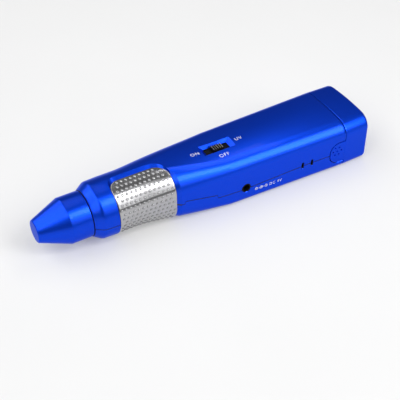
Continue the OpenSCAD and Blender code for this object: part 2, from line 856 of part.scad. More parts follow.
module battery_lead(y) {
    x0 = board_x + board_len - 1.5;
    x1 = batt_x0 - stud_h - snap_t;
    skin(tube_rings([for (k = [0:10])
        let (t = k / 10)
        let (fall = soft(part_of(t, 0.2, 1)))
        [mix(x0, x1, t), mix(y, batt_y + y, fall), mix(board_z + lead_r + tiny, batt_z, fall)]], lead_r, 8));
}
module red_lead() {
    color("red")
        at_axis()
            battery_lead(-2.2);
}
module black_lead() {
    color("black")
        at_axis()
            battery_lead(0.6);
}
module case_screws() {
    color("gray")
        at_axis()
            boss_places() {
                difference() {
                    rod(0, 0, -collar_r + screw_seat, screw_head_r, screw_head_h);
                    block(-1.2, 1.2, -0.25, 0.25, -collar_r + screw_seat - 0.5, -collar_r + screw_seat + 0.6);
                    block(-0.25, 0.25, -1.2, 1.2, -collar_r + screw_seat - 0.5, -collar_r + screw_seat + 0.6);
                }
                rod(0, 0, -collar_r + screw_seat + 1.5, screw_r, screw_len);
            }
}
module battery_cover() {
    n = 64;
    er = 1.2;
    ox = [seam_x + tiny, seam_x + 5, total_len - er];
    color("royalblue")
        at_axis()
            difference() {
                union() {
                    skin(concat(
                        [for (x = [total_len - cover_wall, seam_x + tiny]) whole_ring(x, cover_wall, n)],
                        [for (x = ox) whole_ring(x, 0, n)],
                        [for (k = [30:30:90]) whole_ring(total_len - er * (1 - sin(k)), er * (1 - cos(k)), n)]
                    ));
                    intersection() {
                        tongue_strip();
                        translate([0, -12, 0])
                            rotate([90, 0, 0])
                                linear_extrude(height = 12)
                                    tongue_shape(0);
                    }
                }
                for (r = [-1:1], k = [0:2 - abs(r)])
                    near_rod(seam_x - tongue_len + 3.9 + (k - 1 + abs(r) / 2) * dot_pitch,
                        tongue_z + 1.2 + r * dot_pitch * 0.87, 0.45, -25, -half_w(seam_x - 4) + 0.45);
                block(0, total_len + 1, -30, 30, -30, -collar_r);
            }
}
module tongue_strip() {
    skin([for (x = [seam_x - tongue_len - 1, seam_x, seam_x + 1])
        [for (c = [[0.02, 7], [0.02, -7], [cover_wall - 0.1, -7], [cover_wall - 0.1, 7]])
            [x, -half_w(x) + c[0], tongue_z + c[1]]]]);
}
module battery_pad() {
    x1 = total_len - cover_wall;
    color("dimgray")
        at_axis()
            mid_block(x1 - pad_t / 2, batt_y, pad_t, pad_w, batt_z - pad_h / 2, batt_z + pad_h / 2);
}

upper_shell();
lower_shell();
grip_plate();
probe_cap();
probe_housing();
cap_ring();
uv_led();
probe_needle();
heater_block();
probe_spring();
spring_retainer();
probe_leads();
main_board();
control_chip();
board_parts();
board_screws();
slide_switch();
switch_knob();
dc_jack();
dc_jack_pin();
buzzer();
green_lamps();
yellow_lamps();
red_lamps();
indicator_lens();
touch_contact();
battery();
battery_terminals();
battery_snap();
red_lead();
black_lead();
case_screws();
battery_cover();
battery_pad();
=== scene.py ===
"""Diamond tester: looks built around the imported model. Shapes are worked out in millimetres, with X counted
from the tip of the cap along the axis of the nose, and placed in the frame in metres."""
import json
import math
from functools import lru_cache

import bmesh
import bpy
import numpy as np
from mathutils import Matrix, Vector


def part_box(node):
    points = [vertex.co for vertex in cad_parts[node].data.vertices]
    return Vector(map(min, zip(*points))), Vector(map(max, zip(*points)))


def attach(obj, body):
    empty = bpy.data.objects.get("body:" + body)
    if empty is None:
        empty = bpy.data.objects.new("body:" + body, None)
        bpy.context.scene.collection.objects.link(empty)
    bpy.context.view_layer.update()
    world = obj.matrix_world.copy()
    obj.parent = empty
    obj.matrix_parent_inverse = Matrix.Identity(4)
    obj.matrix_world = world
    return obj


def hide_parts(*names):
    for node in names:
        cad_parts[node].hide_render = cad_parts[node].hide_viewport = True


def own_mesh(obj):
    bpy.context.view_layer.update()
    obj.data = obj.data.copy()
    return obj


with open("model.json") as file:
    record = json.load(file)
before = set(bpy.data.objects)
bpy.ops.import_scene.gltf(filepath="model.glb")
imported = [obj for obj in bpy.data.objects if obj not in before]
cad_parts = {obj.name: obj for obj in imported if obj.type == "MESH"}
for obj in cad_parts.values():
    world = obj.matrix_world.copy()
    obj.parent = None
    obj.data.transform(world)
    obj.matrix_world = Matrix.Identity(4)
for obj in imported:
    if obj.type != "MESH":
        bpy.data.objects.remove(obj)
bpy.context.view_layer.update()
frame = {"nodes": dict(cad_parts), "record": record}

# Sizes in millimetres, as in the solids, apart from RIM_ and RECESS_, which follow the photo more closely
MM = 0.001
TOTAL_LEN = 171.2
SEAM_GAP = 0.3
CAP_D, CAP_TIP_D, CAP_CONE, CAP_LEN, CAP_WALL = 22.1, 10.7, 14.4, 24.4, 1.3
COLLAR_R = 14.0
COLLAR_BEVEL, COLLAR_BAND = 3.9, 7.8
SHOULDER_X = 93.0
HALF_FRONT, HALF_REAR = 16.7, 18.75
BODY_TOP, CROWN = 12.1, 1.4
TOP_CORNER, BOTTOM_CORNER = 6.5, 3.8
WALL = 1.8
PARTING_FRONT, PARTING_REAR, TAB_LEN = 5.6, 3.8, 17.0
GRIP_X1, GRIP_SHEET, GRIP_SINK = 64.7, 0.8, 0.45
GRIP_EDGE_DEG, GRIP_CORNER, GRIP_FRONT_CORNER = 4.5, 6.5, 4.6
GRIP_REAR_TURN, GRIP_FRONT_TURN = 34, 20
RIM_WIDTH, RIM_DEPTH, RIM_RISE = 2.1, 1.1, 1.5
SLOT_LEN, SLOT_W, SLOT_SLOPE, SLOT_Y = 16.8, 6.8, 1.1, -1.0
RECESS_LEN, RECESS_W, RECESS_END, RECESS_SIDE = 16.9, 7.2, 2.1, 1.15
KNOB_LEN, SWITCH_TRAVEL = 5.4, 3.0
JACK_X, JACK_D = 101.0, 4.6
COVER_LEN, COVER_WALL = 14.2, 1.3
TONGUE_LEN, TONGUE_W, TONGUE_R = 8.2, 11.8, 5.0
DOT_PITCH = 2.4
LIP_LEN, LIP_BEVEL = 3.0, 0.3
CORD_X, CORD_PITCH, CORD_SLOT_W, CORD_SLOT_H = 135.4, 5.3, 1.4, 3.6
LENS_X, LENS_LEN, LENS_H, LENS_Z = 74.1, 30.0, 4.0, 2.1
FIT_GAP, RUN_GAP, PLATE_GAP = 0.1, 0.3, 0.25

FACE_X = CAP_LEN + SEAM_GAP
FACE_R = CAP_D / 2 + 0.25
BEVEL_X = FACE_X + COLLAR_BEVEL
GRIP_X0 = BEVEL_X + COLLAR_BAND
FLARE_X = GRIP_X0 + 7.7
SEAM_X = TOTAL_LEN - COVER_LEN
STEP_X = GRIP_X1 + 3.6
TAB_X = STEP_X + TAB_LEN
SLOT_X = SHOULDER_X + 0.8
BORE_R = CAP_D / 2 - CAP_WALL
SEAT_R = BORE_R - RUN_GAP + FIT_GAP
NECK_R = COLLAR_R - GRIP_SINK - GRIP_SHEET - FIT_GAP - 1.1
NECK_END = GRIP_X1 + 2.5
POCKET_X = FACE_X + 2.4
LIP_OUT = COVER_WALL + RUN_GAP
LIP_IN = LIP_OUT + 1.0
JACK_Z = -PARTING_FRONT + 0.3
CORD_Z = -PARTING_REAR - 0.1
TONGUE_Z = -PARTING_REAR + 0.2
SKIRT_Z = BODY_TOP - WALL - 0.35
EDGE = 0.1
GROOVE_W, GROOVE_DEPTH = 0.28, 0.7
COVER_GAP = 0.25
NOSE_RUN, NOSE_DROP, BAND_RUN, BAND_DROP = 3.0, 2.4, 1.0, 0.2
FLARE_POWER, FLARE_DROP, SHOULDER_RUN, COVER_TAPER = 1.3, 8.0, 2.0, 0.025
SPLIT_NOSE, SPLIT_STEP, SPLIT_TAB, SPLIT_TAB_END, SPLIT_ROUND = -1.0, -2.3, -0.9, 2.0, 0.12
STEP_RUN, TAB_FOOT = 0.6, 0.2
MIN_CORNER, TINY = 0.4, 0.01
LIP_START, LIP_FULL, NECK_RUN, INSET_ROUND = 6.0, 4.0, 3.0, 0.2
NOSE_STEP, GRIP_STEP, BODY_STEP, END_RUN, SHOULDER_END = 0.35, 0.75, 1.5, 0.5, 3.0
STEP_RINGS = (-0.1, 0.1, 0.3, 0.5, 0.7)
SPLIT_GAP, EDGE_SHARE = 0.02, 0.3
EDGE_ROUND = [(0.0, EDGE), (EDGE_SHARE * EDGE, EDGE_SHARE * EDGE), (EDGE, 0.0)]


def mix(a, b, t):
    return a + (b - a) * t


def part_of(x, x0, x1):
    return min(1.0, max(0.0, (x - x0) / (x1 - x0)))


def soft(t):
    return t * t * (3 - 2 * t)


def rounded_lookup(x, table, half=0.7):
    """Straight lines between the table's points, with the kinks rounded over a short length."""
    xs, vs = zip(*table)
    return float(np.mean(np.interp(np.linspace(x - half, x + half, 9), xs, vs)))


def flare(x):
    return part_of(x, FLARE_X, SHOULDER_X)


@lru_cache(None)
def collar_at(x):
    table = [(FACE_X - NOSE_RUN, FACE_R - NOSE_DROP), (FACE_X, FACE_R), (BEVEL_X, COLLAR_R - BAND_DROP),
             (GRIP_X0 - BAND_RUN, COLLAR_R), (TOTAL_LEN, COLLAR_R)]
    return rounded_lookup(x, table)


@lru_cache(None)
def half_width(x):
    if x < FLARE_X:
        return collar_at(x)
    if x < SHOULDER_X:
        return mix(COLLAR_R, HALF_FRONT, flare(x) ** FLARE_POWER)
    along = min(1.0, (x - SHOULDER_X) / (SEAM_X - SHOULDER_X))
    return mix(HALF_FRONT, HALF_REAR, along) - max(0.0, x - SEAM_X) * COVER_TAPER


@lru_cache(None)
def top_height(x):
    if x < FLARE_X:
        return collar_at(x)
    return mix(COLLAR_R, BODY_TOP, soft(part_of(x, FLARE_X + FLARE_DROP, SHOULDER_X + SHOULDER_RUN)))


@lru_cache(None)
def corner_top(x):
    if x < FLARE_X:
        return collar_at(x)
    return mix(COLLAR_R, TOP_CORNER, 0.5 * flare(x) + 0.5 * soft(flare(x)))


@lru_cache(None)
def corner_bottom(x):
    if x < FLARE_X:
        return collar_at(x)
    return mix(COLLAR_R, BOTTOM_CORNER, mix(soft(flare(x)), flare(x), flare(x)))


@lru_cache(None)
def crown_at(x):
    return CROWN * soft(part_of(x, FLARE_X + FLARE_DROP, SHOULDER_X))


@lru_cache(None)
def split_z(x):
    table = [(FACE_X, SPLIT_NOSE), (STEP_X, SPLIT_STEP), (STEP_X + STEP_RUN, SPLIT_TAB),
             (TAB_X, -PARTING_FRONT + SPLIT_TAB_END), (TAB_X + STEP_RUN, -PARTING_FRONT + TAB_FOOT),
             (JACK_X, -PARTING_FRONT), (CORD_X, -PARTING_REAR), (TOTAL_LEN, -PARTING_REAR)]
    return rounded_lookup(x, table, SPLIT_ROUND)


def fitted_corner(corner, a, zl):
    """A corner radius that fits in a half width and a height."""
    return max(MIN_CORNER, min(corner, a - TINY, zl - TINY))


def section_point(x, phi, inset):
    """A point of the housing's section: phi in degrees from the top towards the near side."""
    s, c = math.sin(math.radians(phi)), math.cos(math.radians(phi))
    a = half_width(x) - inset
    upper = c >= 0
    zl = (top_height(x) if upper else collar_at(x)) - inset
    rc = (corner_top(x) if upper else corner_bottom(x)) - inset
    r = fitted_corner(rc, a, zl)
    u, v = abs(s), abs(c)
    ca, cz = a - r, zl - r
    if u * zl <= v * ca:
        rho = zl / v
    elif v * a <= u * cz:
        rho = a / u
    else:
        k = u * ca + v * cz
        rho = k + math.sqrt(max(0.0, k * k - ca * ca - cz * cz + r * r))
    y, z = -rho * s, rho * c
    if z > 0:
        z -= crown_at(x) * (y / half_width(x)) ** 2 * z / top_height(x)
    return (x, y, z)


def width_at(x, z, inset):
    """Half width of the section at a height under the axis."""
    a, zl = half_width(x) - inset, collar_at(x) - inset
    r = fitted_corner(corner_bottom(x) - inset, a, zl)
    over = -z - (zl - r)
    return a if over <= 0 else a - r + math.sqrt(max(TINY, r * r - over * over))


def split_phi(x, z, inset):
    return math.degrees(math.atan2(width_at(x, z, inset), z))


def roof(x, y, inset=0.0):
    """Height of the top surface over a point beside the middle."""
    a, zl = half_width(x) - inset, top_height(x) - inset
    r = fitted_corner(corner_top(x) - inset, a, zl)
    over = abs(y) - (a - r)
    z = zl if over <= 0 else zl - r + math.sqrt(max(TINY, r * r - over * over))
    return z - crown_at(x) * (y / half_width(x)) ** 2 * z / top_height(x)


# Mesh helpers

def in_frame(p):
    return ((p[0] - TOTAL_LEN / 2) * MM, p[1] * MM, (p[2] + COLLAR_R) * MM)


def new_object(name, verts, faces):
    mesh = bpy.data.meshes.new(name)
    mesh.from_pydata([in_frame(p) for p in verts], [], faces)
    mesh.validate()
    bm = bmesh.new()
    bm.from_mesh(mesh)
    bmesh.ops.remove_doubles(bm, verts=bm.verts, dist=1e-7)
    bmesh.ops.recalc_face_normals(bm, faces=bm.faces)
    bm.to_mesh(mesh)
    bm.free()
    obj = bpy.data.objects.new(name, mesh)
    bpy.context.scene.collection.objects.link(obj)
    return obj


def loft(name, rings, strip=False):
    """A closed skin over rings with the same number of points. A bent sheet's ends are closed by strips."""
    n, m = len(rings[0]), len(rings)
    verts = [p for ring in rings for p in ring]
    faces = [(k * n + i, k * n + (i + 1) % n, (k + 1) * n + (i + 1) % n, (k + 1) * n + i)
             for k in range(m - 1) for i in range(n)]
    if strip:
        cap = [(i, i + 1, n - 2 - i, n - 1 - i) for i in range(n // 2 - 1)]
        faces += cap + [tuple((m - 1) * n + j for j in reversed(f)) for f in cap]
    else:
        faces += [tuple(range(n - 1, -1, -1)), tuple((m - 1) * n + i for i in range(n))]
    return new_object(name, verts, faces)


def cut(obj, cutters, how="DIFFERENCE"):
    """Takes the cutters out of a piece, or joins them to it, one after another, and deletes them."""
    for c in cutters:
        mod = obj.modifiers.new("cut", "BOOLEAN")
        mod.operation, mod.solver, mod.object = how, "MANIFOLD", c
        bpy.context.view_layer.objects.active = obj
        bpy.ops.object.modifier_apply(modifier=mod.name)
    for c in cutters:
        bpy.data.objects.remove(c)


def smooth(obj, angle=28):
    mesh = obj.data
    mesh.shade_smooth()
    mesh.set_sharp_from_angle(angle=math.radians(angle))


def join(name, objs):
    for o in bpy.context.selected_objects:
        o.select_set(False)
    for o in objs:
        o.select_set(True)
    bpy.context.view_layer.objects.active = objs[0]
    bpy.ops.object.join()
    objs[0].name = name
    return objs[0]


def circle(n):
    """Points of a circle of radius one."""
    turns = [2 * math.pi * i / n for i in range(n)]
    return [(math.cos(a), math.sin(a)) for a in turns]


def turned(name, profile, steps):
    """A turned piece from points of distance and radius, closed at the axis."""
    return loft(name, [[(x, -r * v, r * u) for u, v in circle(steps)] for x, r in profile])


def arc(cx, cr, r, a0, a1, n):
    """Points of an arc in a profile, angles in degrees from the axis."""
    angles = [math.radians(mix(a0, a1, i / n)) for i in range(n + 1)]
    return [(cx + r * math.cos(a), cr + r * math.sin(a)) for a in angles]


# The two shells

def shell_inset(x):
    """Depth of the shells' inner side under the surface."""
    if x < POCKET_X:
        return half_width(x) - SEAT_R
    if x < NECK_END:
        return half_width(x) - NECK_R
    start = half_width(NECK_END) - NECK_R
    table = [(NECK_END, start), (NECK_END + NECK_RUN, WALL), (SEAM_X - LIP_START, WALL),
             (SEAM_X - LIP_FULL, LIP_IN), (TOTAL_LEN, LIP_IN)]
    return rounded_lookup(x, table, INSET_ROUND)


def split_edge(x, side, out):
    """Edge from the surface to the parting face, as depths and heights, with a groove on the lower shell."""
    z0 = split_z(x) + side * SPLIT_GAP
    z1 = z0 if side > 0 else z0 - GROOVE_W
    edge = [(out + d, z1 + side * i) for d, i in EDGE_ROUND]
    return edge if side > 0 else edge + [(out + GROOVE_DEPTH, z1), (out + GROOVE_DEPTH, z0)]


def shell_ring(x, out, inner, side, n_out, n_in):
    edge = split_edge(x, side, out)
    start = split_phi(x, edge[0][1], edge[0][0])
    face = split_phi(x, edge[-1][1], inner)
    if side > 0:
        sweep, back = (-start, start), (face, -face)
        first, last = 1, -1
    else:
        sweep, back = (start, 360 - start), (360 - face, face)
        first, last = -1, 1
    lead = [(x, first * width_at(x, z, d), z) for d, z in reversed(edge[1:])]
    tail = [(x, last * width_at(x, z, d), z) for d, z in edge[1:]]
    arc_out = [section_point(x, mix(*sweep, i / n_out), out) for i in range(n_out + 1)]
    arc_in = [section_point(x, mix(*back, i / n_in), inner) for i in range(n_in + 1)]
    return lead + arc_out + tail + arc_in


def shell_stations():
    """Distances and depths of the rings, with rounded rims at both ends and the lip for the cover."""
    xs = np.concatenate([np.arange(FACE_X + END_RUN, GRIP_X0, NOSE_STEP),
                         np.arange(GRIP_X0, SHOULDER_X + SHOULDER_END, GRIP_STEP),
                         np.arange(SHOULDER_X + SHOULDER_END, SEAM_X - END_RUN, BODY_STEP)])
    steps = [x + d for x in (STEP_X, TAB_X) for d in STEP_RINGS]
    steps += [SEAM_X - d + e for d in (LIP_START, LIP_FULL) for e in (-INSET_ROUND, INSET_ROUND)]
    xs = np.unique(np.concatenate([xs, steps, [POCKET_X - TINY, POCKET_X + TINY]]))
    rings = [(FACE_X + d, inset) for d, inset in EDGE_ROUND] + [(float(x), 0.0) for x in xs]
    rings += [(SEAM_X - d, inset) for d, inset in reversed(EDGE_ROUND)]
    return rings + [(SEAM_X, LIP_OUT), (SEAM_X + LIP_LEN - LIP_BEVEL, LIP_OUT),
                    (SEAM_X + LIP_LEN, LIP_OUT + LIP_BEVEL)]


def shell(name, side, n_out, n_in):
    return loft(name, [shell_ring(x, out, shell_inset(x), side, n_out, n_in) for x, out in shell_stations()])


# Cutters for the openings in the shells

RECESS_LEAD, RECESS_STEP, RECESS_OVER = 0.25, 0.05, 0.1
RECESS_CORNER, RECESS_REACH = 0.4, (-0.4, 1.05)
CUT_OUT, CUT_IN = -3.0, 7.0
JACK_BEVEL, SMALL_BEVEL = 0.25, 0.2
CORD_CUT, TONGUE_CUT, TONGUE_OVER = 3.0, 5.0, 2.0
LENS_CORNER = 0.9
SCREW_PLACES = [(68.5, 5), (68.5, -5), (111.0, 9), (111.0, -9)]
SCREW_R, SCREW_BEVEL, SCREW_DEPTH = 2.3, 0.25, 6.0
CIRCLE_STEPS = 40
LACQUER_DEPTH, GROOVE_SKIN, RIM_SKIN, SWITCH_DEPTH = 0.55, 0.06, 0.08, 2.2
AROUND_SWITCH, BEFORE_GRIP, BEHIND_GRIP, GROOVE_SLACK = 1.0, 2.0, 1.0, 0.05


def grip_phi(x, margin):
    """Edge angle of the grip plate, with its rounded corners, widened by a margin."""
    t = min(1.0, max(0.0, (x - (GRIP_X1 + margin - GRIP_CORNER)) / GRIP_CORNER))
    f = min(1.0, max(0.0, (GRIP_X0 - margin + GRIP_FRONT_CORNER - x) / GRIP_FRONT_CORNER))
    return (GRIP_EDGE_DEG - math.degrees(margin / COLLAR_R) + GRIP_REAR_TURN * (1 - math.sqrt(1 - t * t))
            + GRIP_FRONT_TURN * (1 - math.sqrt(1 - f * f)))


def grip_stations(margin, middle=40):
    front = [GRIP_X0 - margin + GRIP_FRONT_CORNER * (1 - math.cos(math.radians(k))) for k in range(0, 91, 6)]
    run = [mix(front[-1], GRIP_X1 + margin - GRIP_CORNER, i / middle) for i in range(1, middle + 1)]
    rear = [GRIP_X1 + margin - GRIP_CORNER * (1 - math.sin(math.radians(k))) for k in range(6, 91, 6)]
    return front + run + rear


def recess_ring(x, phi, inner, n=70):
    """A ring of the cutter for the grip plate, which opens outwards with the slope of the rim."""
    wide = math.degrees(RIM_RISE * RIM_WIDTH / RIM_DEPTH / COLLAR_R)
    mid = min(inner, RIM_DEPTH)
    return ([section_point(x, mix(phi - wide, 180 - phi + wide, i / n), mid - RIM_RISE) for i in range(n + 1)]
            + [section_point(x, 180 - phi, mid - TINY)]
            + [section_point(x, mix(180 - phi, phi, i / n), inner + TINY) for i in range(n + 1)]
            + [section_point(x, phi, mid - TINY)])


def grip_recess():
    depth = GRIP_SINK + GRIP_SHEET + FIT_GAP
    xs = grip_stations(PLATE_GAP, 30)
    first, last = xs[0], xs[-1]
    rings = [recess_ring(first - RECESS_LEAD, grip_phi(first, PLATE_GAP), -RECESS_OVER)]
    rings += [recess_ring(x, grip_phi(x, PLATE_GAP), depth) for x in xs]
    rings += [recess_ring(last + RECESS_STEP, grip_phi(last, PLATE_GAP), RIM_DEPTH),
              recess_ring(last + RIM_WIDTH + RECESS_STEP, grip_phi(last, PLATE_GAP), -RECESS_OVER)]
    return loft("cut_grip", rings)


def rounded_box(w, h, r, n=6):
    """Outline of a rectangle with rounded corners, around the origin."""
    out = []
    for sx, sy, a in ((1, 1, 0), (-1, 1, 90), (-1, -1, 180), (1, -1, 270)):
        for i in range(n + 1):
            t = math.radians(a + 90 * i / n)
            out.append((sx * (w / 2 - r) + r * math.cos(t), sy * (h / 2 - r) + r * math.sin(t)))
    return out


def switch_cut():
    rings = []
    for t in RECESS_REACH:
        outline = rounded_box(RECESS_LEN - 2 * t * RECESS_END, RECESS_W - 2 * t * RECESS_SIDE, RECESS_CORNER)
        rings.append([(SLOT_X + u, SLOT_Y + v, BODY_TOP - t * WALL) for u, v in outline])
    return loft("cut_switch", rings)


def side_cut(name, outline, depths, sign=-1):
    """A form through a side wall: outline(margin) gives points in X and Z, depths lists depth and margin."""
    return loft(name, [[(x, sign * (half_width(x) - d), z) for x, z in outline(m)] for d, m in depths])


def chamfered(gap, bevel, end=CUT_IN):
    """Depths and margins of a cutter with a bevelled mouth."""
    return [(CUT_OUT, gap + bevel), (0.0, gap + bevel), (bevel, gap), (end, gap)]


def jack_outline(margin):
    r = JACK_D / 2 + margin
    return [(JACK_X + r * u, JACK_Z + r * v) for u, v in circle(CIRCLE_STEPS)]


def slot_outline(x):
    def outline(margin):
        w, h = CORD_SLOT_W + 2 * margin, CORD_SLOT_H + 2 * margin
        return [(x + u, CORD_Z + v) for u, v in rounded_box(w, h, w / 2 - TINY)]
    return outline


def tongue_outline(end):
    def outline(margin):
        x0, h, r = SEAM_X - TONGUE_LEN - margin, TONGUE_W / 2 + margin, TONGUE_R + margin
        front = [(x0 + r - r * math.sin(math.radians(a)), TONGUE_Z - h + r - r * math.cos(math.radians(a)))
                 for a in range(0, 91, 6)]
        back = [(x0 + r - r * math.cos(math.radians(a)), TONGUE_Z + h - r + r * math.sin(math.radians(a)))
                for a in range(0, 91, 6)]
        return [(end, TONGUE_Z - h)] + front + back + [(end, TONGUE_Z + h)]
    return outline


def lens_outline(margin):
    return [(LENS_X + LENS_LEN / 2 + u, LENS_Z + v)
            for u, v in rounded_box(LENS_LEN + 2 * margin, LENS_H + 2 * margin, LENS_CORNER + margin)]


def near_cuts():
    cuts = [side_cut("cut_jack", jack_outline, chamfered(FIT_GAP, JACK_BEVEL))]
    for d in (-0.5, 0.5):
        slot = slot_outline(CORD_X + d * CORD_PITCH)
        cuts.append(side_cut("cut_cord", slot, chamfered(0.0, SMALL_BEVEL, CORD_CUT)))
    tongue = tongue_outline(SEAM_X + LIP_LEN + TONGUE_OVER)
    cuts.append(side_cut("cut_tongue", tongue, chamfered(RUN_GAP, SMALL_BEVEL, TONGUE_CUT)))
    return cuts


def bottom_holes():
    wide = SCREW_R + SCREW_BEVEL
    levels = [(-COLLAR_R - 2, wide), (-COLLAR_R, wide), (-COLLAR_R + SCREW_BEVEL, SCREW_R),
              (-COLLAR_R + SCREW_DEPTH, SCREW_R)]
    ring = circle(CIRCLE_STEPS)
    return [loft("cut_screw", [[(x + r * u, y + r * v, z) for u, v in ring] for z, r in levels])
            for x, y in SCREW_PLACES]


def under_skin(c):
    """Place of a point in millimetres, and its depth under the housing's surface."""
    x, y, z = c.x / MM + TOTAL_LEN / 2, c.y / MM, c.z / MM - COLLAR_R
    out = section_point(x, math.degrees(math.atan2(-y, z)), 0.0)
    return x, y, z, math.hypot(*out[1:]) - math.hypot(y, z)


def bare_or_groove_shade(c):
    """Whether a point of a shell gets the near-black second material: bare plastic inside, away from the
    lacquered surface, and painted shade on the walls of the parting groove.
    """
    x, y, z, depth = under_skin(c)
    in_switch = (abs(x - SLOT_X) < SLOT_LEN / 2 + AROUND_SWITCH
                 and abs(y - SLOT_Y) < SLOT_W / 2 + AROUND_SWITCH and z > BODY_TOP - SWITCH_DEPTH)
    # groove walls from just under the surface get the near-black material, as painted shade
    shaded_groove = abs(z - split_z(x)) < GROOVE_W + GROOVE_SLACK and depth > GROOVE_SKIN
    by_grip = GRIP_X0 - BEFORE_GRIP < x < GRIP_X1 + RIM_WIDTH + BEHIND_GRIP
    limit = RIM_DEPTH + RIM_SKIN if by_grip else LACQUER_DEPTH
    return x > SEAM_X - SPLIT_GAP or shaded_groove or (depth > limit and not in_switch)


def inside_and_groove_shade(obj):
    """Gives the inside of a shell its second material, near-black bare plastic, which also puts painted shade
    on the walls of the parting groove.
    """
    for face in obj.data.polygons:
        face.material_index = int(bare_or_groove_shade(face.center))


UPPER_STEPS, LOWER_STEPS, INNER_STEPS = 170, 150, 40

upper = shell("upper_shell_skin", 1, UPPER_STEPS, INNER_STEPS)
cut(upper, [grip_recess(), switch_cut()] + near_cuts()
    + [side_cut("cut_lens", lens_outline, chamfered(FIT_GAP, SMALL_BEVEL), sign=1)])
lower = shell("lower_shell_skin", -1, LOWER_STEPS, INNER_STEPS)
cut(lower, [grip_recess()] + near_cuts() + bottom_holes())
for part, node in ((upper, "upper_shell"), (lower, "lower_shell")):
    smooth(part)
    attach(part, "housing")
    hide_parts(node)

# The battery cover with its tongue

COVER_X = SEAM_X + COVER_GAP
END_ROUND, COVER_CORNER, TONGUE_LAP = 1.4, 0.8, 0.6
TONGUE_LEVELS = [(COVER_WALL - 0.1, 0.0), (0.1, 0.0), (0.03, -0.03), (0.0, -0.1)]
DOT_X, DOT_Z, DOT_ROW, DOT_STEPS = 3.9, 1.2, 0.87, 20
DOT_LEVELS = [(-1.0, 0.52), (0.0, 0.52), (0.05, 0.46), (0.6, 0.42), (0.78, 0.3)]


def whole_ring(x, inset, n=220):
    return [section_point(x, 360 * i / n, inset) for i in range(n)]


inside = [(TOTAL_LEN - COVER_WALL, COVER_WALL + COVER_CORNER),
          (TOTAL_LEN - COVER_WALL - COVER_CORNER, COVER_WALL), (COVER_X, COVER_WALL)]
outside = [(COVER_X + d, i) for d, i in EDGE_ROUND]
outside += [(x, 0.0) for x in np.arange(SEAM_X + 1, TOTAL_LEN - END_ROUND, 1.0)]
turns = [math.radians(a) for a in range(0, 91, 10)]
outside += [(TOTAL_LEN - END_ROUND * (1 - math.sin(a)), END_ROUND * (1 - math.cos(a))) for a in turns]
cover = loft("cover_body", [whole_ring(float(x), i) for x, i in inside + outside])
tongue = side_cut("tongue", tongue_outline(COVER_X + TONGUE_LAP), TONGUE_LEVELS)
dots = []
for row in (-1, 0, 1):
    for k in range(3 - abs(row)):
        x = SEAM_X - TONGUE_LEN + DOT_X + (k - 1 + abs(row) / 2) * DOT_PITCH
        z = TONGUE_Z + DOT_Z + row * DOT_PITCH * DOT_ROW
        dot = [[(x + r * u, -(half_width(x) - d), z + r * v) for u, v in circle(DOT_STEPS)]
               for d, r in DOT_LEVELS]
        dots.append(loft("cut_dot", dot))
cut(tongue, dots)
cut(cover, [tongue], "UNION")
cover.name = "battery_cover_skin"
smooth(cover)
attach(cover, "cover")
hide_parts("battery_cover")

# The probe cap

TIP_ROUND, TIP_FLAT, TIP_MID, TIP_WALL = 0.8, 0.75, 0.56, 0.9
CONE_ROUND, CONE_RUN, BORE_RUN = 1.4, 0.25, 0.5
MOUTH_ROUND, MOUTH_RUN, MOUTH_BEVEL = 0.3, 0.9, 0.15
CAP_STEPS = 200
tip_r, cap_r = CAP_TIP_D / 2, CAP_D / 2
slope = math.degrees(math.atan2(cap_r - tip_r, CAP_CONE))
profile = [(0.0, TINY), (0.0, tip_r - TIP_FLAT)]
profile += arc(TIP_ROUND, tip_r - TIP_MID, TIP_ROUND, 180, 90 + slope, 8)[1:]
profile += arc(CAP_CONE + CONE_RUN, cap_r - CONE_ROUND, CONE_ROUND, 90 + slope, 90, 8)
profile += [(CAP_LEN - MOUTH_RUN, cap_r)]
profile += arc(CAP_LEN - MOUTH_ROUND, cap_r - MOUTH_ROUND, MOUTH_ROUND, 90, 0, 6)
profile += [(CAP_LEN, BORE_R + MOUTH_BEVEL), (CAP_LEN - MOUTH_BEVEL, BORE_R), (CAP_CONE + BORE_RUN, BORE_R),
            (CAP_WALL, tip_r - TIP_WALL), (CAP_WALL, TINY)]
cap = turned("probe_cap_skin", profile, CAP_STEPS)
smooth(cap, 20)
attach(cap, "cap")
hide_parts("probe_cap")

# The grip plate with its raised dots

BUMP_R, BUMP_H, BUMP_PITCH, ROW_PITCH, ROW_SHIFT, FIRST_ROW = 0.75, 0.44, 2.27, 2.25, -0.85, 11.0
# CREASE and CREASE_START bound the ring of painted shade at the foot of each dome
BUMP_EDGE, CREASE, CREASE_START = 0.95, 0.24, 0.02
BUMP_X, BUMP_RANGE = 1.7, range(-2, 24)
DOME_FOOT, DOME_STEPS, DOME_SEGMENTS = 0.3, 6, 14
ROLL_DEPTH, ROLL_RUN, GRIP_STEPS, GRIP_RINGS = 0.12, 0.35, 160, 70


def rolled(edge):
    """How far the plate is rolled in at a distance from its edge."""
    return ROLL_DEPTH * max(0.0, 1 - edge / ROLL_RUN) ** 2


def plate_ring(x, phi, n, under):
    """A ring of the plate, with its edges rolled in a little."""
    out = []
    for i in range(n + 1):
        p = mix(phi, 180 - phi, i / n)
        edge = min(i, n - i) * math.radians(180 - 2 * phi) / n * COLLAR_R
        out.append(section_point(x, p, GRIP_SINK + under + rolled(edge)))
    return out + [section_point(x, mix(180 - phi, phi, i / n), GRIP_SINK + GRIP_SHEET) for i in range(n + 1)]


def bump_places():
    """Middles of the bumps as distance and angle, in rows that shift along the plate, inside its edge."""
    step = math.degrees(ROW_PITCH / (COLLAR_R - GRIP_SINK))
    for row in range(int((180 - 2 * FIRST_ROW) / step) + 1):
        phi = FIRST_ROW + row * step
        for i in BUMP_RANGE:
            x = GRIP_X0 + BUMP_X + i * BUMP_PITCH + (row * ROW_SHIFT) % BUMP_PITCH
            if GRIP_X0 + BUMP_EDGE < x < GRIP_X1 - BUMP_EDGE:
                edge = grip_phi(x, -BUMP_EDGE)
                if edge < phi < 180 - edge:
                    yield x, phi


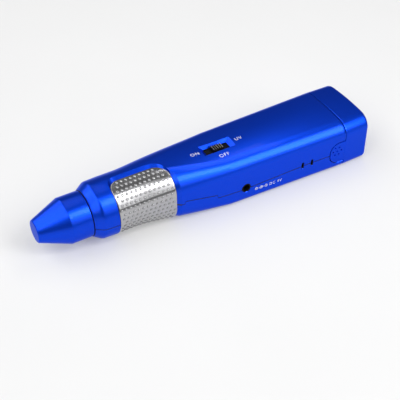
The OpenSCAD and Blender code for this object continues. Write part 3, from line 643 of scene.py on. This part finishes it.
def dome(x, phi):
    """A round bump on the plate, with its foot sunk in the metal."""
    here = Vector(section_point(x, phi, GRIP_SINK))
    along = (Vector(section_point(x + 0.2, phi, GRIP_SINK)) - here).normalized()
    around = (Vector(section_point(x, phi + 1, GRIP_SINK)) - here).normalized()
    up = around.cross(along).normalized()
    if up.dot(Vector((0, here.y, here.z))) < 0:
        up = -up
    ball = (BUMP_R ** 2 + BUMP_H ** 2) / (2 * BUMP_H)
    foot = math.asin(BUMP_R / ball)
    turns = [foot * k / DOME_STEPS for k in range(DOME_STEPS, 0, -1)]
    levels = [(BUMP_R, -DOME_FOOT)]
    levels += [(ball * math.sin(a), ball * math.cos(a) - ball + BUMP_H) for a in turns]
    return [[tuple(here + along * r * u + around * r * v + up * h) for u, v in circle(DOME_SEGMENTS)]
            for r, h in levels]


plate = [plate_ring(x, grip_phi(x, 0), GRIP_STEPS, rolled(min(x - GRIP_X0, GRIP_X1 - x)))
         for x in sorted(set(grip_stations(0, GRIP_RINGS)))]
grip = loft("grip_plate_skin", plate, strip=True)
cut(grip, [join("bumps", [loft("bump", dome(x, phi)) for x, phi in bump_places()])], "UNION")
smooth(grip, 50)
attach(grip, "housing")
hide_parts("grip_plate")

# The indicator lens on the far side

LENS_LEVELS = [(WALL, 0.0), (0.3, 0.0), (0.16, -0.08), (0.1, -0.25)]
lens = side_cut("indicator_lens_skin", lens_outline, LENS_LEVELS, sign=1)
smooth(lens)
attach(lens, "housing")
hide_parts("indicator_lens")

# The switch knob: ridged thumb piece, dust skirt and stem

KNOB_TOP = BODY_TOP
KNOB_SLACK, KNOB_BEVEL, KNOB_SINK, KNOB_LEAN = 0.25, 0.14, 0.3, 0.2
KNOB_HALF_W = SLOT_W / 2 - SLOT_SLOPE - RUN_GAP - KNOB_SLACK
SKIRT_LEN = SLOT_LEN - 2 * SLOT_SLOPE + 2 * SWITCH_TRAVEL + 0.8
SKIRT_W = SLOT_W - 2 * SLOT_SLOPE + 1.2
SKIRT_LEVELS, SKIRT_CORNER = [(SKIRT_Z - 0.7, 0.0), (SKIRT_Z - 0.1, 0.0), (SKIRT_Z, 0.2)], 0.6
STEM_LEN, STEM_W, STEM_CORNER = 2.8, 2.4, 0.3
STEM_LEVELS = [(4.2, 0.2), (4.4, 0.0), (SKIRT_Z - KNOB_SINK, 0.0)]
RIDGE_STEPS = 16
RIDGES, RIDGE_SHARE, RIDGE_END, GROOVE, CREST = 5, 0.45, 0.32, 0.6, 0.16


def ridge_profile(inset):
    """Side view of the thumb piece, with rounded ridges across its top."""
    half, low = KNOB_LEN / 2 - inset, SKIRT_Z - KNOB_SINK + inset * KNOB_LEAN
    pts = [(-half, low), (half, low)]
    steps = RIDGE_STEPS * RIDGES
    for i in range(steps + 1):
        u = half - 2 * half * i / steps
        place = (half - RIDGE_END - u) / (2 * (half - RIDGE_END)) * (RIDGES - 1)
        off = abs(place - min(RIDGES - 1, max(0, round(place))))
        crest = math.cos(math.pi * off / RIDGE_SHARE) if off < RIDGE_SHARE / 2 else 0.0
        pts.append((u, KNOB_TOP - inset - GROOVE * (1 - crest)))
    return pts


def upright(name, length, width, corner, levels):
    """A block with rounded corners under the thumb piece. Levels list height and how much smaller it is."""
    return loft(name, [[(SLOT_X + u, SLOT_Y + v, z) for u, v in rounded_box(length - g, width - g, corner)]
                       for z, g in levels])


thumb_levels = [(-KNOB_HALF_W, KNOB_BEVEL), (-KNOB_HALF_W + KNOB_BEVEL, 0.0), (KNOB_HALF_W - KNOB_BEVEL, 0.0),
                (KNOB_HALF_W, KNOB_BEVEL)]
thumb = loft("knob_thumb", [[(SLOT_X + u, SLOT_Y + y, z) for u, z in ridge_profile(inset)]
                            for y, inset in thumb_levels])
skirt = upright("knob_skirt", SKIRT_LEN, SKIRT_W, SKIRT_CORNER, SKIRT_LEVELS)
stem = upright("knob_stem", STEM_LEN, STEM_W, STEM_CORNER, STEM_LEVELS)
knob = join("switch_knob_skin", [thumb, skirt, stem])
smooth(knob, 40)
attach(knob, "knob")
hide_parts("switch_knob")

# The battery block: rounded sleeve with crimped rims at both ends

BATT_X0, BATT_X1, BATT_Y, BATT_Z, BATT_W, BATT_T = 121.6, 167.6, 0.8, -2.45, 26.5, 17.5
# Distance from the end, how far it is drawn in, and corner radius
CRIMP = [(0.0, 2.2, 2.0), (0.0, 0.9, 2.4), (0.3, 0.3, 2.6), (1.0, 0.3, 2.6), (1.3, 0.0, 2.7)]
levels = [(BATT_X0 + d, g, r) for d, g, r in CRIMP] + [(BATT_X1 - d, g, r) for d, g, r in reversed(CRIMP)]
sleeve = [[(x, BATT_Y + u, BATT_Z + v) for u, v in rounded_box(BATT_W - 2 * g, BATT_T - 2 * g, r)]
          for x, g, r in levels]
block = loft("battery_block", sleeve)
smooth(block, 40)
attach(block, "housing")
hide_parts("battery")

# The probe spring, coiled over the length of its part

SPRING_TURNS, SPRING_WIRE, PRESS_TRAVEL = 7, 0.2, 1.5
TURN_STEPS, WIRE_STEPS = 24, 10


def spring_rings(x0, x1, coil):
    """Rings of the wire along its turns, between two distances."""
    count = SPRING_TURNS * TURN_STEPS
    for k in range(count + 1):
        a, x = 2 * math.pi * k / TURN_STEPS, mix(x0 + SPRING_WIRE, x1 - SPRING_WIRE, k / count)
        yield [(x + SPRING_WIRE * v, (coil + SPRING_WIRE * u) * math.cos(a),
                (coil + SPRING_WIRE * u) * math.sin(a)) for u, v in circle(WIRE_STEPS)]


low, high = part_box("probe_spring")
coil = (high.y - low.y) / MM / 2 - SPRING_WIRE
spring_ends = [end.x / MM + TOTAL_LEN / 2 for end in (low, high)]
spring = loft("probe_spring_skin", list(spring_rings(*spring_ends, coil)))
smooth(spring, 60)
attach(spring, "housing")
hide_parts("probe_spring")
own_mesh(spring)

# Printed marks

INK, INK_LIFT, THIN, LETTER_SPACE = 0.03, 0.01, -0.01, 1.18
LETTER, SMALL_LETTER = 2.8, 2.2
POLE_Z = -7.85
# Middle and radii of the rings, ends and half height of the bars
POLE_RINGS = [(106.6, 0.62, 0.8), (109.3, 0.05, 0.38), (109.3, 0.7, 0.88), (112.0, 0.62, 0.8)]
POLE_BARS = [(106.2, 107.0, 0.08), (111.6, 112.4, 0.08), (111.92, 112.08, 0.4), (107.4, 108.5, 0.07),
             (109.6, 111.2, 0.07)]


def text_mesh(name, words, size, place):
    """Letters of a given height, laid on a surface: place takes distance along, across and above."""
    curve = bpy.data.curves.new(name, "FONT")
    curve.body, curve.size, curve.extrude = words, size, INK
    curve.resolution_u, curve.offset, curve.space_character = 6, THIN * size, LETTER_SPACE
    source = bpy.data.objects.new(name + "_text", curve)
    bpy.context.scene.collection.objects.link(source)
    bpy.context.view_layer.update()
    mesh = bpy.data.meshes.new_from_object(source.evaluated_get(bpy.context.evaluated_depsgraph_get()))
    bpy.data.objects.remove(source)
    mesh.name = name
    for v in mesh.vertices:
        v.co = Vector(in_frame(place(v.co.x, v.co.y, v.co.z)))
    obj = bpy.data.objects.new(name, mesh)
    bpy.context.scene.collection.objects.link(obj)
    return obj


def on_top(x0, y0):
    return lambda u, v, w: (x0 + u, y0 + v, roof(x0 + u, y0 + v) + w + INK_LIFT)


def on_near(x0, z0):
    return lambda u, v, w: (x0 + u, -half_width(x0 + u) - w - INK_LIFT, z0 + v)


marks = [text_mesh("mark_on", "ON", LETTER, on_top(79.0, -2.6)),
         text_mesh("mark_off", "OFF", LETTER, on_top(91.0, -8.9)),
         text_mesh("mark_uv", "UV", LETTER, on_top(103.7, -1.8)),
         text_mesh("mark_dc", "DC 9V", SMALL_LETTER, on_near(113.8, -8.6))]


def ring_mark(x, z, r0, r1, n=28):
    """A flat ring on the near side, or a disc where the inner radius is small."""
    levels = ((r0, INK), (r1, INK), (r1, -INK), (r0, -INK))
    verts = [(x + r * u, -half_width(x) - w - INK_LIFT, z + r * v) for r, w in levels for u, v in circle(n)]
    faces = [(k * n + i, k * n + (i + 1) % n, (k + 1) % 4 * n + (i + 1) % n, (k + 1) % 4 * n + i)
             for k in range(4) for i in range(n)]
    return new_object("ring", verts, faces)


def bar_mark(x0, x1, z0, z1):
    corners = ((INK, z0), (INK, z1), (-INK, z1), (-INK, z0))
    return loft("bar", [[(x, -half_width(x) - w - INK_LIFT, z) for w, z in corners] for x in (x0, x1)])


poles = [ring_mark(x, POLE_Z, r0, r1) for x, r0, r1 in POLE_RINGS]
poles += [bar_mark(x0, x1, POLE_Z - h, POLE_Z + h) for x0, x1, h in POLE_BARS]
marks.append(join("mark_poles", poles))
for mark in marks:
    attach(mark, "housing")

# Materials

CLOUD_DETAIL, CLOUD_LOW, CLOUD_HIGH = 4, 0.3, 0.7
GRAIN_DETAIL, MIN_ROUGH = 3, 0.02


def link(tree, a, out, b, inp):
    tree.links.new(a.outputs[out], b.inputs[inp])


def finish(name, base, rough, metallic=0.0, vary=0.08, scale=900.0, grain=2500.0, bump=0.05, depth=0.00004,
           rough_vary=0.08, **sockets):
    """A material with cloudy colour and roughness and a fine grain. The clouds have vary and scale, the grain
    has grain, bump and depth. Other sockets are set plainly."""
    mat = bpy.data.materials.new(name)
    mat.use_nodes = True
    tree = mat.node_tree
    shader = tree.nodes["Principled BSDF"]
    coords = tree.nodes.new("ShaderNodeTexCoord")
    cloud = tree.nodes.new("ShaderNodeTexNoise")
    cloud.inputs["Scale"].default_value = scale
    cloud.inputs["Detail"].default_value = CLOUD_DETAIL
    link(tree, coords, "Object", cloud, "Vector")
    ramp = tree.nodes.new("ShaderNodeValToRGB")
    dark, light = ramp.color_ramp.elements
    dark.position, light.position = CLOUD_LOW, CLOUD_HIGH
    dark.color = [c * (1 - vary) for c in base] + [1]
    light.color = [min(1, c * (1 + vary)) for c in base] + [1]
    link(tree, cloud, "Fac", ramp, "Fac")
    link(tree, ramp, "Color", shader, "Base Color")
    spread = tree.nodes.new("ShaderNodeMapRange")
    spread.inputs["To Min"].default_value = max(MIN_ROUGH, rough - rough_vary)
    spread.inputs["To Max"].default_value = min(1, rough + rough_vary)
    link(tree, cloud, "Fac", spread, "Value")
    link(tree, spread, "Result", shader, "Roughness")
    fine = tree.nodes.new("ShaderNodeTexNoise")
    fine.inputs["Scale"].default_value = grain
    fine.inputs["Detail"].default_value = GRAIN_DETAIL
    link(tree, coords, "Object", fine, "Vector")
    relief = tree.nodes.new("ShaderNodeBump")
    relief.inputs["Strength"].default_value = bump
    relief.inputs["Distance"].default_value = depth
    link(tree, fine, "Fac", relief, "Height")
    link(tree, relief, "Normal", shader, "Normal")
    shader.inputs["Metallic"].default_value = metallic
    for socket, value in sockets.items():
        shader.inputs[socket.replace("_", " ")].default_value = value
    return mat


BLUE = (0.003, 0.056, 0.71)
materials = {
    "blue_shell": finish("blue_lacquer", BLUE, 0.32, 0.9, 0.05, 5000, 9000, 0.03, 0.00002, 0.03,
                         Coat_Weight=0.1, Coat_Roughness=0.06, Specular_Tint=(0.5, 0.6, 0.95, 1),
                         Specular_IOR_Level=0.3),
    "grip_metal": finish("grip_steel", (0.46, 0.46, 0.47), 0.15, 1.0, 0.04, 700, 5000, 0.04, 0.00002, 0.04),
    "black_plastic": finish("black_plastic", (0.005, 0.005, 0.006), 0.5, 0.0, 0.2, 900, 6000, 0.15,
                            Specular_IOR_Level=0.1),
    "nose_plastic": finish("nose_plastic", (0.1, 0.105, 0.12), 0.45, 0.0, 0.1, 600, 5000, 0.12),
    "ring_rubber": finish("ring_rubber", (0.02, 0.02, 0.02), 0.65, 0.0, 0.2, 900, 4000, 0.2),
    "lamp_violet": finish("lamp_violet", (0.72, 0.62, 0.95), 0.08, 0.0, 0.03, 300, 3000, 0.01,
                          Transmission_Weight=0.8),
    "copper": finish("copper", (0.78, 0.36, 0.2), 0.25, 1.0, 0.08, 900, 4000, 0.08),
    "heater_white": finish("heater_white", (0.8, 0.77, 0.7), 0.6, 0.0, 0.06, 1200, 6000, 0.15),
    "spring_steel": finish("spring_steel", (0.6, 0.6, 0.62), 0.28, 1.0, 0.06, 1500, 6000, 0.08),
    "lead_orange": finish("lead_orange", (0.75, 0.25, 0.04), 0.5, 0.0, 0.08, 900, 5000, 0.1),
    "board_green": finish("board_green", (0.012, 0.13, 0.05), 0.35, 0.0, 0.2, 1200, 3000, 0.15),
    "chip_black": finish("chip_black", (0.03, 0.03, 0.033), 0.5, 0.0, 0.15, 1500, 8000, 0.2),
    "part_tan": finish("part_tan", (0.5, 0.36, 0.2), 0.45, 0.0, 0.1, 1500, 8000, 0.15),
    "screw_steel": finish("screw_steel", (0.58, 0.58, 0.6), 0.3, 1.0, 0.08, 1200, 6000, 0.1),
    "switch_metal": finish("switch_metal", (0.68, 0.69, 0.7), 0.32, 1.0, 0.06, 1200, 6000, 0.1),
    "lamp_green": finish("lamp_green", (0.05, 0.5, 0.08), 0.15, 0.0, 0.05, 900, 4000, 0.02,
                         Transmission_Weight=0.3),
    "lamp_yellow": finish("lamp_yellow", (0.8, 0.55, 0.03), 0.15, 0.0, 0.05, 900, 4000, 0.02,
                          Transmission_Weight=0.3),
    "lamp_red": finish("lamp_red", (0.7, 0.03, 0.02), 0.15, 0.0, 0.05, 900, 4000, 0.02,
                       Transmission_Weight=0.3),
    "lens_smoke": finish("lens_smoke", (0.09, 0.1, 0.12), 0.08, 0.0, 0.03, 300, 3000, 0.01,
                         Transmission_Weight=0.85, IOR=1.49),
    "contact_brass": finish("contact_brass", (0.78, 0.56, 0.22), 0.3, 1.0, 0.08, 1200, 6000, 0.1),
    "battery_skin": finish("battery_sleeve", (0.06, 0.065, 0.075), 0.32, 0.4, 0.1, 500, 4000, 0.05),
    "terminal_steel": finish("terminal_steel", (0.7, 0.7, 0.71), 0.25, 1.0, 0.06, 1200, 6000, 0.08),
    "lead_red": finish("lead_red", (0.6, 0.02, 0.015), 0.5, 0.0, 0.08, 900, 5000, 0.1),
    "lead_black": finish("lead_black", (0.02, 0.02, 0.02), 0.5, 0.0, 0.15, 900, 5000, 0.1),
    "pad_foam": finish("pad_foam", (0.06, 0.06, 0.065), 0.9, 0.0, 0.3, 1500, 2500, 0.8, 0.0003),
}
# near-black bare plastic for the inside of the shells; on the parting groove's walls it is painted shade
raw_plastic_and_groove_shade = finish("raw_plastic_and_groove_shade", (0.02, 0.021, 0.026), 0.6, 0.0, 0.2, 900, 5000, 0.15)
# darker steel as painted shade in the crease at the foot of each dome
crease_shade_steel = finish("crease_shade_steel", (0.2, 0.2, 0.21), 0.3, 1.0, 0.1, 1500, 6000, 0.1)
# light plastic as a painted highlight on the ridge crests of the knob
crest_highlight_plastic = finish("crest_highlight_plastic", (0.3, 0.28, 0.25), 0.45, 0.0, 0.2, 1500, 6000, 0.15)
ink = finish("white_ink", (0.78, 0.79, 0.81), 0.5, 0.0, 0.05, 2500, 8000, 0.1)


def dress(obj, *mats):
    obj.data.materials.clear()
    for mat in mats:
        obj.data.materials.append(mat)


for piece, slot in ((cover, "blue_shell"), (cap, "blue_shell"), (grip, "grip_metal"), (lens, "lens_smoke"),
                    (knob, "black_plastic"), (block, "battery_skin"), (spring, "spring_steel")):
    dress(piece, materials[slot])
# faces near the top of the ridges get the lighter plastic: painted highlight
knob.data.materials.append(crest_highlight_plastic)
for face in knob.data.polygons:
    face.material_index = int(face.center.z > in_frame((0, 0, KNOB_TOP - CREST))[2])
# faces in a thin ring at the foot of each dome get the darker steel: painted shade in the crease
grip.data.materials.append(crease_shade_steel)
for face in grip.data.polygons:
    face.material_index = int(GRIP_SINK - CREASE < under_skin(face.center)[3] < GRIP_SINK - CREASE_START)
# the shells' inside and their groove walls get the near-black plastic: bare inside, painted shade in the
# groove
for piece in (upper, lower):
    dress(piece, materials["blue_shell"], raw_plastic_and_groove_shade)
    inside_and_groove_shade(piece)
for mark in marks:
    dress(mark, ink)
for part in frame["record"]["subparts"]:
    node = frame["nodes"].get(part["node"])
    if node is not None and part["material_slot"] in materials:
        for s in node.material_slots:
            s.material = materials[part["material_slot"]]

# Floor, light and camera

FLOOR_SIZE, FLOOR_Z, FLOOR_GREY, FLOOR_GLOW = 6.0, -0.00005, (0.74, 0.74, 0.74), 0.25
WORLD_GLOW = 0.2
CAMERA_PLACE, CAMERA_AIM = (-0.17656, -0.30423, 0.30608), (0.3753, 0.6483, -0.6625)
LENS_MM, SENSOR_MM, CLIP_NEAR, CLIP_FAR = 86.0, 36.0, 0.01, 20.0
ALONG_X, ALONG_Y, ASKEW = (1, 0, 0), (0, 1, 0), (1, 0.3, 0)
# Name, place, direction of the first side and sides, in metres, and brightness
LAMPS = [("key", (0.41, -0.627, 0.809), ALONG_X, (0.6, 0.95), 0.4),
         ("core", (0.24, -0.588, 0.809), ALONG_X, (0.22, 0.36), 7.2),
         ("body", (0.52, -0.67, 0.743), ALONG_X, (0.32, 0.7), 5.3),
         ("band", (0.41, -0.87, 0.49), ALONG_X, (0.6, 0.7), 1.3),
         ("top", (0.17, 0.08, 0.36), ALONG_X, (0.08, 0.28), 3.1),
         ("nose", (0.022, 0.18, 0.36), ALONG_X, (0.05, 0.34), 1.3),
         ("left", (-0.54, 0.04, 0.79), ALONG_Y, (1.2, 0.55), 2.15),
         ("left_far", (-0.42, 0.75, 0.58), ASKEW, (0.7, 0.45), 1.7),
         ("left_low", (-0.8, -0.42, 0.52), ALONG_Y, (0.5, 0.45), 2.0),
         ("spark", (0.02, -0.4, 0.95), ALONG_X, (0.03, 0.03), 250.0)]

bpy.ops.mesh.primitive_plane_add(size=FLOOR_SIZE, location=(0, 0, FLOOR_Z))
floor = bpy.context.object
floor.name = "floor"
paper = finish("floor_paper", FLOOR_GREY, 0.9, 0.0, 0.01, 12, 400, 0.02, Specular_IOR_Level=0.1)


def whiten(mat, share):
    """Lets the camera and reflections see the paper as partly white by itself, which lifts its shadow."""
    tree = mat.node_tree
    path = tree.nodes.new("ShaderNodeLightPath")
    rays = path.outputs["Is Camera Ray"]
    for kind in ("Is Glossy Ray", "Is Transmission Ray"):
        add = tree.nodes.new("ShaderNodeMath")
        add.operation, add.use_clamp = "ADD", True
        tree.links.new(rays, add.inputs[0])
        tree.links.new(path.outputs[kind], add.inputs[1])
        rays = add.outputs[0]
    part = tree.nodes.new("ShaderNodeMath")
    part.operation = "MULTIPLY"
    part.inputs[1].default_value = share
    tree.links.new(rays, part.inputs[0])
    glow = tree.nodes.new("ShaderNodeEmission")
    blend = tree.nodes.new("ShaderNodeMixShader")
    out = tree.nodes["Material Output"]
    tree.links.new(part.outputs[0], blend.inputs["Fac"])
    link(tree, tree.nodes["Principled BSDF"], "BSDF", blend, 1)
    link(tree, glow, "Emission", blend, 2)
    link(tree, blend, "Shader", out, "Surface")


whiten(paper, FLOOR_GLOW)
dress(floor, paper)


def softbox(name, place, along, size, glow):
    """A rectangular lamp that faces the object, with its first side along a given direction."""
    data = bpy.data.lights.new(name, "AREA")
    data.shape, data.size, data.size_y = "RECTANGLE", size[0], size[1]
    data.energy = glow * math.pi * size[0] * size[1]
    back = Vector(place).normalized()
    side = Vector(along).cross(back).cross(back).normalized() * -1
    lamp = bpy.data.objects.new(name, data)
    lamp.rotation_euler = Matrix((side, back.cross(side), back)).transposed().to_euler()
    lamp.location, lamp.visible_camera = place, False
    bpy.context.scene.collection.objects.link(lamp)


for lamp in LAMPS:
    softbox(*lamp)

world = bpy.context.scene.world or bpy.data.worlds.new("studio")
bpy.context.scene.world = world
world.use_nodes = True
sky = world.node_tree.nodes["Background"]
sky.inputs["Color"].default_value = (1, 1, 1, 1)
sky.inputs["Strength"].default_value = WORLD_GLOW

camera_data = bpy.data.cameras.new("camera")
camera_data.lens, camera_data.sensor_width = LENS_MM, SENSOR_MM
camera_data.clip_start, camera_data.clip_end = CLIP_NEAR, CLIP_FAR
camera = bpy.data.objects.new("camera", camera_data)
camera.location = CAMERA_PLACE
camera.rotation_euler = Vector(CAMERA_AIM).to_track_quat("-Z", "Y").to_euler()
bpy.context.scene.collection.objects.link(camera)
bpy.context.scene.camera = camera
bpy.context.scene.view_settings.view_transform = "Standard"
